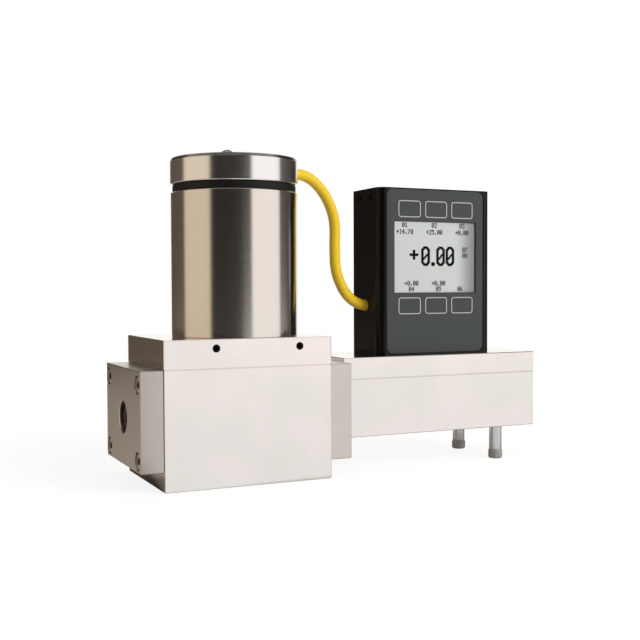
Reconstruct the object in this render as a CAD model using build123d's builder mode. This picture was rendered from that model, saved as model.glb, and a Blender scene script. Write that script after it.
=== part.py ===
from build123d import *
import os
from math import pi, radians, tan

# Mass flow controller with a block valve, a coil can and a meter with a display.
# Frame: X runs along the gas path, outlet at -X and inlet at +X, -Y is the display side,
# Z is up, and the origin is the middle of the footprint at the height of the valve block's base.
# Every length is in millimetres.

# ---------------------------------------------------------------- driving dimensions
block_length = 75.0
block_width = 57.0
block_height = 49.8
top_plate_height = 12.2
port_cap_thickness = 9.8
port_cap_base = 8.3
coupling_thickness = 10.7
coupling_width = 53.5
coupling_base = 7.8
meter_length = 104.5
meter_width = 38.0
meter_height = 26.3
sensor_plate_height = 9.7
flow_height = 28.6
edge_break = 0.3

# gas path through the valve
port_radius = 6.75
port_chamfer = 0.45
passage_diameter = 10.0
nose_relief_depth = 6.0
nose_relief_gap = 0.5
chamber_diameter = 36.0
riser_diameter = 7.0
riser_wall = 0.9
drill_overrun = 0.8
seat_diameter = 16.0
seat_height = 3.0
seat_web = 1.2
seat_bore = 6.0
seat_lip_diameter = 9.0
seat_lip_height = 1.0

# gas path through the meter
inlet_port_depth = 16.0
screen_diameter = 12.6
screen_thickness = 0.8
screen_hole_radius = 0.6
screen_hole_pitch = 1.7
throat_diameter = 11.0
throat_length = 13.7
meter_bore = 18.0
element_setback = 10.0
element_hole_radius = 1.0
element_hole_pitch = 2.6
element_rim = 0.7
retainer_thickness = 1.15
retainer_reach = 1.6
retainer_opening = 7.0
retainer_groove_width = 1.3
retainer_groove_depth = 0.7

# pressure taps from the bore to the two sensors under the display
tap_diameter = 3.0
tap_from_coupling = 5.0
tap_from_port = 6.0
tap_pocket_diameter = 7.0
tap_pocket_depth = 1.3
tap_passage_diameter = 2.0
tap_passage_rise = 2.1
sensor_riser_diameter = 1.6
plug_diameter = 3.2
plug_length = 3.0
plug_inset = 0.2
sensor_pocket_length = 38.0
sensor_pocket_width = 17.0
sensor_pocket_depth = 5.5
sensor_pocket_radius = 2.0
sensor_length = 13.0
sensor_width = 11.0
sensor_height = 5.0
sensor_spacing = 19.0
sensor_nozzle_radius = 2.5
sensor_nozzle_height = 2.2
sensor_board_length = 36.0
sensor_board_width = 15.0

# O-ring grooves
plate_groove_width = 2.2
plate_groove_depth = 1.6
port_groove_land = 1.3
port_groove_width = 2.6
port_groove_depth = 1.9
face_groove_land = 1.0
face_groove_width = 2.0
face_groove_depth = 1.5

# coil can and its cap
can_diameter = 56.2
can_height = 62.7
can_wall = 2.0
can_floor = 2.0
can_edge = 0.3
can_from_block_left = 41.2
spigot_diameter = 50.0
spigot_height = 7.0
seal_ring_height = 3.6
seal_ring_inset = 0.9
seal_ring_round = 0.8
cap_overhang = 0.2
cap_height = 11.2
cap_wall = 5.0
cap_roof = 2.8
cap_bevel_width = 0.5
cap_bevel_height = 1.3

# coil, guide tube and moving armature
guide_bore = 12.2
guide_wall = 0.9
guide_flange_diameter = 44.0
guide_flange_height = 2.5
running_clearance = 0.05
armature_length = 46.0
armature_edge = 0.4
valve_lift = 1.2
open_air_gap = 0.3
seal_disc_diameter = 9.6
seal_disc_height = 1.8
seal_disc_proud = 0.3
spring_diameter = 6.0
spring_wire = 0.8
spring_turns = 6
spring_bore_depth = 13.0
bobbin_height = 50.0
bobbin_flange = 1.6
bobbin_hub_wall = 1.8
winding_inset = 2.0
yoke_height = 4.5
lead_slot_length = 8.0
lead_slot_width = 3.0
pole_collar_height = 1.5
stud_diameter = 4.0
stud_offset = 3.2
nut_across_flats = 6.4
nut_hex_height = 2.8
nut_height = 4.6
nut_dome_inset = 0.15

# display housing
housing_width = 61.8
housing_depth = 26.4
housing_height = 78.0
housing_wall = 2.0
housing_front_radius = 4.0
housing_back_radius = 1.0
housing_cavity_radius = 2.0
housing_centre_from_coupling = 52.1
boss_inset_x = 5.2
boss_inset_y = 5.0
boss_radius = 3.4
boss_height = 7.0
boss_hole_depth = 6.0
top_cover_thickness = 2.0
cover_skirt = 8.0
cover_skirt_wall = 2.5
cover_skirt_setback = 2.5
cover_screw_spacing = 10.2
cover_screw_drop = 4.2

# keypad film, window and electronics
panel_width = 52.8
panel_height = 76.6
panel_radius = 3.0
panel_gap = 0.3
panel_from_top = 0.55
panel_recess = 1.1
film_thickness = 0.4
window_width = 45.0
window_height = 33.8
window_centre_from_base = 45.8
key_width = 12.05
key_height = 7.85
key_radius = 1.4
key_pitch = 14.45
key_row_above = 22.5
key_row_below = 22.8
key_rim_width = 0.45
key_rim_rise = 0.15
lcd_border = 3.5
lcd_depth = 5.0
lcd_glass_inset = 0.3
spacer_length = 3.0
spacer_radius = 2.0
spacer_inset = 0.5
board_thickness = 1.6
board_side_gap = 3.0
board_shift = 1.0
board_foot = 10.0
board_head = 13.0
jack_from_base = 16.0
jack_nose_radius = 4.0
jack_bore_radius = 3.1
jack_bore_depth = 10.0
jack_pin_radius = 1.0
jack_pin_length = 9.0
jack_body_width = 11.0
jack_body_height = 10.0
jack_body_depth = 12.0
jack_clearance = 1.0
socket_radius = 6.6
socket_length = 11.0
socket_proud = 0.6
socket_collar = 1.2
socket_collar_height = 6.0
socket_from_centre = 14.0
socket_groove_outer = 4.8
socket_groove_inner = 3.6
socket_groove_depth = 6.0
socket_pin_circle = 2.5
socket_pin_count = 8
socket_pin_radius = 0.45
socket_pin_depth = 5.0

# support posts under the meter
post_diameter = 6.0
post_from_meter_right = 20.7
post_spacing = 32.4
post_tip_diameter = 6.8
post_tip_height = 4.6
post_tip_wall = 0.5
post_tip_flare = 1.3
post_tip_neck = 0.35
post_tip_round = 0.9
post_thread_diameter = 4.0
post_thread_length = 8.0

# cable from the can's cap to the display housing
cable_diameter = 5.0
cable_exit_from_cap_base = 6.9
cable_entry_from_meter_top = 23.05
grommet_wall = 0.8
grommet_gap = 0.15
grommet_inset = 0.2

# fasteners: shank, head, head height and socket of each screw size
m4 = 3.9
m4_head = 7.0
m4_head_height = 4.0
m4_socket = 3.0
m3 = 2.9
m3_head = 5.5
m3_head_height = 3.0
m3_socket = 2.5
m2 = 1.9
m2_head = 3.6
m2_head_height = 1.2
m2_socket = 1.3
head_recess = 0.4
cap_head_recess = 0.6
thread_engagement = 8.0
tapped_hole_spare = 1.0
top_plate_thread = 5.0
sensor_plate_thread = 6.5
housing_thread = 5.5
cover_thread = 2.3
cap_screw_inset_y = 4.7
cap_screw_inset_low = 4.8
cap_screw_inset_high = 5.7
coupling_screw_inset = 8.0
meter_screw_inset_y = 4.5
meter_screw_inset_z = 4.15
corner_screw_inset_x = 16.0
corner_screw_inset_y = 6.0
lid_screw_inset_y = 3.9
lid_screw_from_coupling = 16.0
lid_screw_from_inlet = 11.0
set_screw_diameter = 3.4
set_screw_socket = 1.6
set_screw_socket_depth = 2.0
set_screw_inset = 0.5
set_screw_spacing = 37.6
set_screw_drop = 3.8
mounting_hole_diameter = 4.2
mounting_hole_depth = 9.0
mounting_spacing_x = 50.0
mounting_spacing_y = 25.0

# fits
screw_gap = 0.05
seat_gap = 0.05
ring_gap = 0.05
clearance_gap = 0.2
cap_bore_gap = 0.4

# ---------------------------------------------------------------- places that follow from them
overall_length = port_cap_thickness + block_length + coupling_thickness + meter_length
block_left = -overall_length / 2 + port_cap_thickness
block_right = block_left + block_length
block_middle = (block_left + block_right) / 2
outlet_face = block_left - port_cap_thickness
can_x = block_left + can_from_block_left
meter_left = block_right + coupling_thickness
meter_right = meter_left + meter_length
meter_middle = (meter_left + meter_right) / 2
meter_base = flow_height - meter_height / 2
meter_seam = flow_height + meter_height / 2
meter_top = meter_seam + sensor_plate_height
plate_top = block_height + top_plate_height
can_top = plate_top + can_height
cap_diameter = can_diameter + 2 * cap_overhang
cap_base = can_top + seal_ring_height
cap_top = cap_base + cap_height
chamber_floor = flow_height + passage_diameter / 2 + seat_web + seat_height
chamber_depth = block_height - chamber_floor
housing_x = meter_left + housing_centre_from_coupling
housing_left = housing_x - housing_width / 2
housing_right = housing_x + housing_width / 2
housing_front = -housing_depth / 2
housing_top = meter_top + housing_height
window_centre = meter_top + window_centre_from_base
panel_centre = housing_top - panel_from_top - panel_height / 2
cable_exit_height = cap_base + cable_exit_from_cap_base
cable_entry_height = meter_top + cable_entry_from_meter_top

os.makedirs("parts", exist_ok=True)


def keep(part, label):
    """Name a finished piece and write its STEP file."""
    part.label = label
    export_step(part, f"parts/{label}.step")


def socket_screw(shank, length, head, head_height, socket):
    """A socket head screw whose head stands on the local XY plane, shank down."""
    with BuildPart() as screw:
        Cylinder(head / 2, head_height, align=(Align.CENTER, Align.CENTER, Align.MIN))
        chamfer(screw.edges().sort_by(Axis.Z)[-1], head_height * 0.08)
        Cylinder(shank / 2, length, align=(Align.CENTER, Align.CENTER, Align.MAX))
        with BuildSketch(Plane.XY.offset(head_height)):
            RegularPolygon(socket / 2, 6, major_radius=False)
        extrude(amount=-head_height / 2, mode=Mode.SUBTRACT)
    return screw.part


def o_ring(mean_radius, section):
    """An O-ring of round section about the local Z axis, centred on the local XY plane."""
    with BuildPart() as torus:
        with BuildSketch(Plane.XZ):
            with Locations((mean_radius, 0)):
                Circle(section / 2)
        revolve(axis=Axis.Z)
    return torus.part


def facing(x, z, direction):
    """A plane at the gas path's ends that looks along +X or -X, with its own Y axis up."""
    return Plane(origin=(x, 0, z), x_dir=(0, direction, 0), z_dir=(direction, 0, 0))


def looking_down(x, z):
    """A plane that looks down from a height, with its own X axis along the gas path."""
    return Plane(origin=(x, 0, z), x_dir=(1, 0, 0), z_dir=(0, 0, -1))


def hexagonal_places(pitch, reach):
    """Places of a close-packed hexagonal pattern that lie within a reach of the middle."""
    count = 2 * int(reach / pitch) + 3
    grid = HexLocations(pitch / 2, count, count, major_radius=False).local_locations
    return [place for place in grid if place.position.length <= reach]


# ---------------------------------------------------------------- valve block
# Each end of the block carries a plate, so its screw rows are shared with them.
cap_screw_y = block_width / 2 - cap_screw_inset_y
cap_screw_low = port_cap_base + cap_screw_inset_low
cap_screw_high = block_height - cap_screw_inset_high
cap_screw_places = [(y, z) for y in (-cap_screw_y, cap_screw_y) for z in (cap_screw_low, cap_screw_high)]
coupling_screw_y = (coupling_width + meter_width) / 4
coupling_screw_low = coupling_base + coupling_screw_inset
coupling_screw_high = block_height - coupling_screw_inset
coupling_screw_places = [
    (y, z) for y in (-coupling_screw_y, coupling_screw_y) for z in (coupling_screw_low, coupling_screw_high)
]
corner_spacing_x = block_length - 2 * corner_screw_inset_x
corner_spacing_y = block_width - 2 * corner_screw_inset_y
corner_head_depth = m4_head_height + head_recess
corner_screw_length = block_height - corner_head_depth + top_plate_thread
plate_groove_radius = (chamber_diameter + guide_flange_diameter) / 4
riser_x = seat_diameter / 2 + riser_wall + riser_diameter / 2
outlet_drill = can_from_block_left + seat_bore / 2 + drill_overrun
inlet_drill = block_right - can_x - riser_x + riser_diameter / 2 + drill_overrun

with BuildPart() as valve_body:
    with Locations((block_middle, 0, block_height / 2)):
        Box(block_length, block_width, block_height)
    chamfer(valve_body.edges(), edge_break)
    # chamber under the coil, with the pocket for the valve seat in its floor
    with Locations((can_x, 0, block_height)):
        Hole(chamber_diameter / 2, chamber_depth)
    with Locations((can_x, 0, chamber_floor)):
        Hole(seat_diameter / 2, seat_height)
    with BuildSketch(Plane.XY.offset(block_height)):
        with Locations((can_x, 0)):
            Circle(plate_groove_radius + plate_groove_width / 2)
            Circle(plate_groove_radius - plate_groove_width / 2, mode=Mode.SUBTRACT)
    extrude(amount=-plate_groove_depth, mode=Mode.SUBTRACT)
    # outlet: from under the seat to the left face
    with Locations((can_x, 0, chamber_floor - seat_height)):
        Hole(seat_bore / 2, chamber_floor - seat_height - flow_height)
    with Locations(facing(block_left, flow_height, -1)):
        Hole(passage_diameter / 2, outlet_drill)
        Hole(port_radius + nose_relief_gap, nose_relief_depth)
    # inlet: from the right face, and up beside the seat into the chamber
    with Locations((can_x + riser_x, 0, chamber_floor)):
        Hole(riser_diameter / 2, chamber_floor - flow_height)
    with Locations(facing(block_right, flow_height, 1)):
        Hole(passage_diameter / 2, inlet_drill)
    # tapped holes of the two end plates
    with Locations(facing(block_left, 0, -1)):
        with Locations(cap_screw_places):
            Hole(m4 / 2 + screw_gap, thread_engagement + tapped_hole_spare)
    with Locations(facing(block_right, 0, 1)):
        with Locations(coupling_screw_places):
            Hole(m3 / 2 + screw_gap, thread_engagement + tapped_hole_spare)
    # screws that come up from below for the top plate, and the mounting holes between them
    with Locations(looking_down(block_middle, 0)):
        with GridLocations(corner_spacing_x, corner_spacing_y, 2, 2):
            CounterBoreHole(m4 / 2 + clearance_gap, m4_head / 2 + clearance_gap, corner_head_depth)
        with GridLocations(mounting_spacing_x, mounting_spacing_y, 2, 2):
            Hole(mounting_hole_diameter / 2, mounting_hole_depth)
keep(valve_body.part, "valve_body")

with BuildPart() as valve_top_plate:
    with Locations((block_middle, 0, block_height + top_plate_height / 2)):
        Box(block_length, block_width, top_plate_height)
    chamfer(valve_top_plate.edges(), edge_break)
    with Locations((can_x, 0, plate_top)):
        Hole(spigot_diameter / 2 + seat_gap, spigot_height)
        Hole(guide_bore / 2 + guide_wall + seat_gap, top_plate_height)
    with Locations(looking_down(can_x, block_height)):
        Hole(guide_flange_diameter / 2 + seat_gap, guide_flange_height)
    with Locations(looking_down(block_middle, block_height)):
        with GridLocations(corner_spacing_x, corner_spacing_y, 2, 2):
            Hole(m4 / 2 + screw_gap, top_plate_thread + head_recess)
    # set screws on the front and back faces clamp the can's spigot
    for side in (-1, 1):
        with BuildSketch(Plane.XZ.offset(-side * block_width / 2)):
            with Locations((can_x, plate_top - set_screw_drop)):
                with GridLocations(set_screw_spacing, 0, 2, 1):
                    Circle(set_screw_diameter / 2)
        extrude(amount=side * block_width / 2, mode=Mode.SUBTRACT)
keep(valve_top_plate.part, "valve_top_plate")

# set screws stop on the spigot's flank, which curves away at their distance from the can's axis
set_screw_radius = set_screw_diameter / 2 - screw_gap
set_screw_flank_x = set_screw_spacing / 2 - set_screw_diameter / 2
spigot_flank = ((spigot_diameter / 2) ** 2 - set_screw_flank_x**2) ** 0.5
set_screw_face = block_width / 2 - set_screw_inset
set_screw_length = set_screw_face - spigot_flank - screw_gap
with BuildPart() as set_screw:
    Cylinder(set_screw_radius, set_screw_length, align=(Align.CENTER, Align.CENTER, Align.MAX))
    with BuildSketch():
        RegularPolygon(set_screw_socket / 2, 6, major_radius=False)
    extrude(amount=-set_screw_socket_depth, mode=Mode.SUBTRACT)

with BuildPart() as set_screws:
    for side in (-1, 1):
        row_middle = (can_x, side * set_screw_face, plate_top - set_screw_drop)
        with Locations(Plane(origin=row_middle, x_dir=(1, 0, 0), z_dir=(0, side, 0))):
            with GridLocations(set_screw_spacing, 0, 2, 1):
                add(set_screw.part)
keep(set_screws.part, "set_screws")

corner_screw = socket_screw(m4, corner_screw_length, m4_head, m4_head_height, m4_socket)
with BuildPart() as top_plate_screws:
    with Locations(looking_down(block_middle, corner_head_depth)):
        with GridLocations(corner_spacing_x, corner_spacing_y, 2, 2):
            add(corner_screw)
keep(top_plate_screws.part, "top_plate_screws")

plate_ring = o_ring(plate_groove_radius, plate_groove_depth - 2 * ring_gap)
with BuildPart() as top_plate_o_ring:
    with Locations((can_x, 0, block_height - plate_groove_depth / 2)):
        add(plate_ring)
keep(top_plate_o_ring.part, "top_plate_o_ring")

# ---------------------------------------------------------------- outlet port cap
port_cap_height = block_height - port_cap_base
cap_head_depth = m4_head_height + cap_head_recess
port_groove_radius = port_radius + port_groove_land + port_groove_width / 2

with BuildPart() as port_cap:
    with Locations((block_left - port_cap_thickness / 2, 0, port_cap_base + port_cap_height / 2)):
        Box(port_cap_thickness, block_width, port_cap_height)
    chamfer(port_cap.edges(), edge_break)
    with Locations(facing(outlet_face, flow_height, -1)):
        CounterSinkHole(port_radius, port_radius + port_chamfer, port_cap_thickness, 90)
    with Locations(facing(outlet_face, 0, -1)):
        with Locations(cap_screw_places):
            CounterBoreHole(
                m4 / 2 + clearance_gap, m4_head / 2 + cap_bore_gap, cap_head_depth, port_cap_thickness
            )
    with BuildSketch(facing(block_left, flow_height, 1)):
        Circle(port_groove_radius + port_groove_width / 2)
        Circle(port_groove_radius - port_groove_width / 2, mode=Mode.SUBTRACT)
    extrude(amount=-port_groove_depth, mode=Mode.SUBTRACT)
keep(port_cap.part, "port_cap")

cap_screw = socket_screw(
    m4, port_cap_thickness - cap_head_depth + thread_engagement, m4_head, m4_head_height, m4_socket
)
with BuildPart() as port_cap_screws:
    with Locations(facing(outlet_face + cap_head_depth, 0, -1)):
        with Locations(cap_screw_places):
            add(cap_screw)
keep(port_cap_screws.part, "port_cap_screws")

port_ring = o_ring(port_groove_radius, port_groove_depth - 2 * ring_gap)
with BuildPart() as port_cap_o_ring:
    with Locations(facing(block_left - port_groove_depth / 2, flow_height, 1)):
        add(port_ring)
keep(port_cap_o_ring.part, "port_cap_o_ring")

# ---------------------------------------------------------------- valve internals
with BuildPart() as valve_seat:
    with Locations((can_x, 0, chamber_floor - seat_height)):
        Cylinder(seat_diameter / 2 - seat_gap, seat_height, align=(Align.CENTER, Align.CENTER, Align.MIN))
    with Locations((can_x, 0, chamber_floor)):
        Cylinder(seat_lip_diameter / 2, seat_lip_height, align=(Align.CENTER, Align.CENTER, Align.MIN))
        Hole(seat_bore / 2)
keep(valve_seat.part, "valve_seat")

seal_disc_base = chamber_floor + seat_lip_height
armature_base = seal_disc_base + seal_disc_proud
armature_top = armature_base + armature_length
pole_base = armature_top + valve_lift + open_air_gap
spring_base = armature_top - spring_bore_depth
armature_radius = guide_bore / 2 - running_clearance

with BuildPart() as armature:
    with Locations((can_x, 0, armature_base)):
        Cylinder(armature_radius, armature_length, align=(Align.CENTER, Align.CENTER, Align.MIN))
    chamfer(armature.edges().filter_by(GeomType.CIRCLE), armature_edge)
    with Locations((can_x, 0, armature_top)):
        Hole(spring_diameter / 2 + clearance_gap, spring_bore_depth)
    with Locations(looking_down(can_x, armature_base)):
        Hole(seal_disc_diameter / 2 + seat_gap, seal_disc_height - seal_disc_proud)
keep(armature.part, "armature")

with BuildPart() as armature_seal:
    with Locations((can_x, 0, seal_disc_base)):
        Cylinder(seal_disc_diameter / 2, seal_disc_height, align=(Align.CENTER, Align.CENTER, Align.MIN))
keep(armature_seal.part, "armature_seal")

# the spring's line is short of its room by half a wire and a gap at each end
spring_rise = pole_base - spring_base - spring_wire - 2 * ring_gap
with BuildPart() as return_spring:
    with BuildLine(Plane(origin=(can_x, 0, spring_base + spring_wire / 2 + ring_gap))):
        coil_line = Helix(spring_rise / spring_turns, spring_rise, (spring_diameter - spring_wire) / 2)
    with BuildSketch(Plane(origin=coil_line @ 0, z_dir=coil_line % 0)):
        Circle(spring_wire / 2)
    sweep(is_frenet=True)
keep(return_spring.part, "return_spring")

bobbin_base = plate_top + can_floor
bobbin_top = bobbin_base + bobbin_height
guide_top = bobbin_top + yoke_height
guide_radius = guide_bore / 2 + guide_wall

with BuildPart() as guide_tube:
    with Locations((can_x, 0, block_height)):
        Cylinder(
            guide_flange_diameter / 2, guide_flange_height, align=(Align.CENTER, Align.CENTER, Align.MIN)
        )
        Cylinder(guide_radius, guide_top - block_height, align=(Align.CENTER, Align.CENTER, Align.MIN))
        Hole(guide_bore / 2)
keep(guide_tube.part, "guide_tube")

# the pole closes the tube's top; its stud stands off the axis, so the cap fits only one way round
stud_x = can_x - stud_offset
collar_top = guide_top + pole_collar_height
nut_shoulder = cap_top + nut_hex_height
with BuildPart() as pole_piece:
    with Locations((can_x, 0, pole_base)):
        Cylinder(
            guide_bore / 2 - seat_gap, collar_top - pole_base, align=(Align.CENTER, Align.CENTER, Align.MIN)
        )
    with Locations((can_x, 0, guide_top)):
        Cylinder(guide_radius, pole_collar_height, align=(Align.CENTER, Align.CENTER, Align.MIN))
    with Locations((stud_x, 0, collar_top)):
        Cylinder(stud_diameter / 2, nut_shoulder - collar_top, align=(Align.CENTER, Align.CENTER, Align.MIN))
keep(pole_piece.part, "pole_piece")

# ---------------------------------------------------------------- coil can, coil and cap
with BuildPart() as solenoid_can:
    with Locations((can_x, 0, plate_top)):
        Cylinder(can_diameter / 2, can_height, align=(Align.CENTER, Align.CENTER, Align.MIN))
    chamfer(solenoid_can.edges().filter_by(GeomType.CIRCLE), can_edge)
    with Locations((can_x, 0, plate_top)):
        Cylinder(spigot_diameter / 2, spigot_height, align=(Align.CENTER, Align.CENTER, Align.MAX))
    with Locations((can_x, 0, can_top)):
        Hole(can_diameter / 2 - can_wall, can_height - can_floor)
        Hole(guide_radius + seat_gap)
keep(solenoid_can.part, "solenoid_can")

bobbin_radius = can_diameter / 2 - can_wall - clearance_gap
hub_radius = guide_radius + seat_gap + bobbin_hub_wall
with BuildPart() as coil_bobbin:
    with Locations((can_x, 0, bobbin_base)):
        Cylinder(bobbin_radius, bobbin_flange, align=(Align.CENTER, Align.CENTER, Align.MIN))
        Cylinder(hub_radius, bobbin_height, align=(Align.CENTER, Align.CENTER, Align.MIN))
    with Locations((can_x, 0, bobbin_top)):
        Cylinder(bobbin_radius, bobbin_flange, align=(Align.CENTER, Align.CENTER, Align.MAX))
        Hole(guide_radius + seat_gap)
keep(coil_bobbin.part, "coil_bobbin")

with BuildPart() as coil_winding:
    with BuildSketch(Plane.XY.offset(bobbin_base + bobbin_flange)):
        with Locations((can_x, 0)):
            Circle(bobbin_radius - winding_inset)
            Circle(hub_radius + seat_gap, mode=Mode.SUBTRACT)
    extrude(amount=bobbin_height - 2 * bobbin_flange)
keep(coil_winding.part, "coil_winding")

with BuildPart() as yoke_plate:
    with Locations((can_x, 0, bobbin_top)):
        Cylinder(bobbin_radius, yoke_height, align=(Align.CENTER, Align.CENTER, Align.MIN))
    with Locations((can_x, 0, guide_top)):
        Hole(guide_radius + seat_gap)
    # slot that lets the coil's leads up into the cap
    with BuildSketch(Plane.XY.offset(guide_top)):
        with Locations((can_x + bobbin_radius - lead_slot_width, 0)):
            SlotOverall(lead_slot_length, lead_slot_width)
    extrude(amount=-yoke_height, mode=Mode.SUBTRACT)
keep(yoke_plate.part, "yoke_plate")

# rubber ring between can and cap, its outer face rounded back between the two
seal_ring_outer = can_diameter / 2 - seal_ring_inset
with BuildPart() as cap_seal_ring:
    with BuildSketch(Plane.XY.offset(can_top)):
        with Locations((can_x, 0)):
            Circle(seal_ring_outer)
            Circle(can_diameter / 2 - can_wall, mode=Mode.SUBTRACT)
    extrude(amount=seal_ring_height)
    fillet(cap_seal_ring.edges().filter_by(GeomType.CIRCLE).group_by(SortBy.RADIUS)[-1], seal_ring_round)
keep(cap_seal_ring.part, "cap_seal_ring")

grommet_radius = cable_diameter / 2 + grommet_gap + grommet_wall
with BuildPart() as can_cap:
    with Locations((can_x, 0, cap_base)):
        Cylinder(cap_diameter / 2, cap_height, align=(Align.CENTER, Align.CENTER, Align.MIN))
    rims = can_cap.edges().filter_by(GeomType.CIRCLE).sort_by(Axis.Z)
    chamfer(rims[-1], cap_bevel_width, cap_bevel_height, reference=can_cap.faces().sort_by(Axis.Z)[-1])
    chamfer(rims[0], can_edge)
    with Locations(looking_down(can_x, cap_base)):
        Hole(cap_diameter / 2 - cap_wall, cap_height - cap_roof)
    with Locations((stud_x, 0, cap_top)):
        Hole(stud_diameter / 2 + clearance_gap)
    with Locations(facing(can_x + cap_diameter / 2, cable_exit_height, 1)):
        Hole(grommet_radius + seat_gap, cap_wall + drill_overrun)
keep(can_cap.part, "can_cap")

# domed nut: the dome is a slice of a ball that meets the hexagon's flats
dome_rise = nut_height - nut_hex_height
dome_reach = nut_across_flats / 2 - nut_dome_inset
dome_radius = (dome_reach**2 + dome_rise**2) / (2 * dome_rise)
with BuildPart() as cap_nut:
    with BuildSketch(Plane.XY.offset(cap_top)):
        with Locations((stud_x, 0)):
            RegularPolygon(nut_across_flats / 2, 6, major_radius=False)
    extrude(amount=nut_hex_height)
    with BuildSketch(Plane.XZ):
        with BuildLine():
            Line((stud_x, nut_shoulder), (stud_x + dome_reach, nut_shoulder))
            RadiusArc((stud_x + dome_reach, nut_shoulder), (stud_x, nut_shoulder + dome_rise), -dome_radius)
            Line((stud_x, nut_shoulder + dome_rise), (stud_x, nut_shoulder))
        make_face()
    revolve(axis=Axis((stud_x, 0, 0), (0, 0, 1)))
    with Locations(looking_down(stud_x, cap_top)):
        Hole(stud_diameter / 2 + screw_gap, nut_hex_height + clearance_gap)
keep(cap_nut.part, "cap_nut")

# ---------------------------------------------------------------- coupling plate
# Its screws into the block sit outside the meter, its screws into the meter go in from the block side.
coupling_height = block_height - coupling_base
coupling_head_depth = m3_head_height + head_recess
meter_head_depth = m4_head_height + head_recess
meter_screw_spacing_y = meter_width - 2 * meter_screw_inset_y
meter_screw_spacing_z = meter_height - 2 * meter_screw_inset_z
face_groove_radius = meter_bore / 2 + face_groove_land + face_groove_width / 2

with BuildPart() as coupling_plate:
    with Locations((block_right + coupling_thickness / 2, 0, coupling_base + coupling_height / 2)):
        Box(coupling_thickness, coupling_width, coupling_height)
    chamfer(coupling_plate.edges(), edge_break)
    with Locations(facing(meter_left, flow_height, 1)):
        Hole(passage_diameter / 2)
    with Locations(facing(meter_left, 0, 1)):
        with Locations(coupling_screw_places):
            CounterBoreHole(m3 / 2 + clearance_gap, m3_head / 2 + clearance_gap, coupling_head_depth)
    with Locations(facing(block_right, flow_height, -1)):
        with GridLocations(meter_screw_spacing_y, meter_screw_spacing_z, 2, 2):
            CounterBoreHole(m4 / 2 + clearance_gap, m4_head / 2 + clearance_gap, meter_head_depth)
    with BuildSketch(facing(meter_left, flow_height, 1)):
        Circle(face_groove_radius + face_groove_width / 2)
        Circle(face_groove_radius - face_groove_width / 2, mode=Mode.SUBTRACT)
    extrude(amount=-face_groove_depth, mode=Mode.SUBTRACT)
    with BuildSketch(facing(block_right, flow_height, -1)):
        Circle(port_groove_radius + port_groove_width / 2)
        Circle(port_groove_radius - port_groove_width / 2, mode=Mode.SUBTRACT)
    extrude(amount=-port_groove_depth, mode=Mode.SUBTRACT)
keep(coupling_plate.part, "coupling_plate")

coupling_screw = socket_screw(
    m3, coupling_thickness - coupling_head_depth + thread_engagement, m3_head, m3_head_height, m3_socket
)
with BuildPart() as coupling_screws:
    with Locations(facing(meter_left - coupling_head_depth, 0, 1)):
        with Locations(coupling_screw_places):
            add(coupling_screw)
keep(coupling_screws.part, "coupling_screws")

meter_screw = socket_screw(
    m4, coupling_thickness - meter_head_depth + thread_engagement, m4_head, m4_head_height, m4_socket
)
with BuildPart() as meter_screws:
    with Locations(facing(block_right + meter_head_depth, flow_height, -1)):
        with GridLocations(meter_screw_spacing_y, meter_screw_spacing_z, 2, 2):
            add(meter_screw)
keep(meter_screws.part, "meter_screws")

meter_face_ring = o_ring(face_groove_radius, face_groove_depth - 2 * ring_gap)
with BuildPart() as coupling_o_rings:
    with Locations(facing(block_right + port_groove_depth / 2, flow_height, 1)):
        add(port_ring)
    with Locations(facing(meter_left - face_groove_depth / 2, flow_height, 1)):
        add(meter_face_ring)
keep(coupling_o_rings.part, "coupling_o_rings")

# ---------------------------------------------------------------- meter body
meter_bore_depth = meter_length - inlet_port_depth - screen_thickness - throat_length
element_length = meter_bore_depth - element_setback
element_start = meter_left + element_setback
retainer_groove_radius = meter_bore / 2 + retainer_groove_depth
tap_places = [(meter_left + tap_from_coupling, 0), (meter_right - inlet_port_depth - tap_from_port, 0)]
lid_screw_first = meter_left + lid_screw_from_coupling
lid_screw_last = meter_right - lid_screw_from_inlet
lid_screw_y = meter_width / 2 - lid_screw_inset_y
lid_screw_places = [
    (x, y)
    for x in (lid_screw_first, (lid_screw_first + lid_screw_last) / 2, lid_screw_last)
    for y in (-lid_screw_y, lid_screw_y)
]
lid_head_depth = m3_head_height + head_recess
post_x = meter_right - post_from_meter_right
post_places = [(post_x, -post_spacing / 2), (post_x, post_spacing / 2)]

with BuildPart() as meter_body:
    with Locations((meter_middle, 0, flow_height)):
        Box(meter_length, meter_width, meter_height)
    chamfer(meter_body.edges(), edge_break)
    with Locations(facing(meter_left, flow_height, -1)):
        Hole(meter_bore / 2, meter_bore_depth)
        with GridLocations(meter_screw_spacing_y, meter_screw_spacing_z, 2, 2):
            Hole(m4 / 2 + screw_gap, thread_engagement + tapped_hole_spare)
    with Locations(facing(element_start, flow_height, -1)):
        Hole(retainer_groove_radius, retainer_groove_width)
    # inlet port, the pocket for its screen, and the throat behind them
    with Locations(facing(meter_right, flow_height, 1)):
        CounterSinkHole(port_radius, port_radius + port_chamfer, inlet_port_depth, 90)
        Hole(screen_diameter / 2, inlet_port_depth + screen_thickness)
        Hole(throat_diameter / 2, meter_length - meter_bore_depth)
    # pressure taps up to the sensor plate, each in a pocket for its O-ring
    with Locations(Plane.XY.offset(meter_seam)):
        with Locations(tap_places):
            Hole(tap_diameter / 2, meter_height / 2)
            Hole(tap_pocket_diameter / 2, tap_pocket_depth)
    with Locations(looking_down(0, meter_base)):
        with Locations(lid_screw_places):
            CounterBoreHole(m3 / 2 + clearance_gap, m3_head / 2 + clearance_gap, lid_head_depth)
        with Locations(post_places):
            Hole(post_thread_diameter / 2 + screw_gap, post_thread_length + tapped_hole_spare)
keep(meter_body.part, "meter_body")

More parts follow.
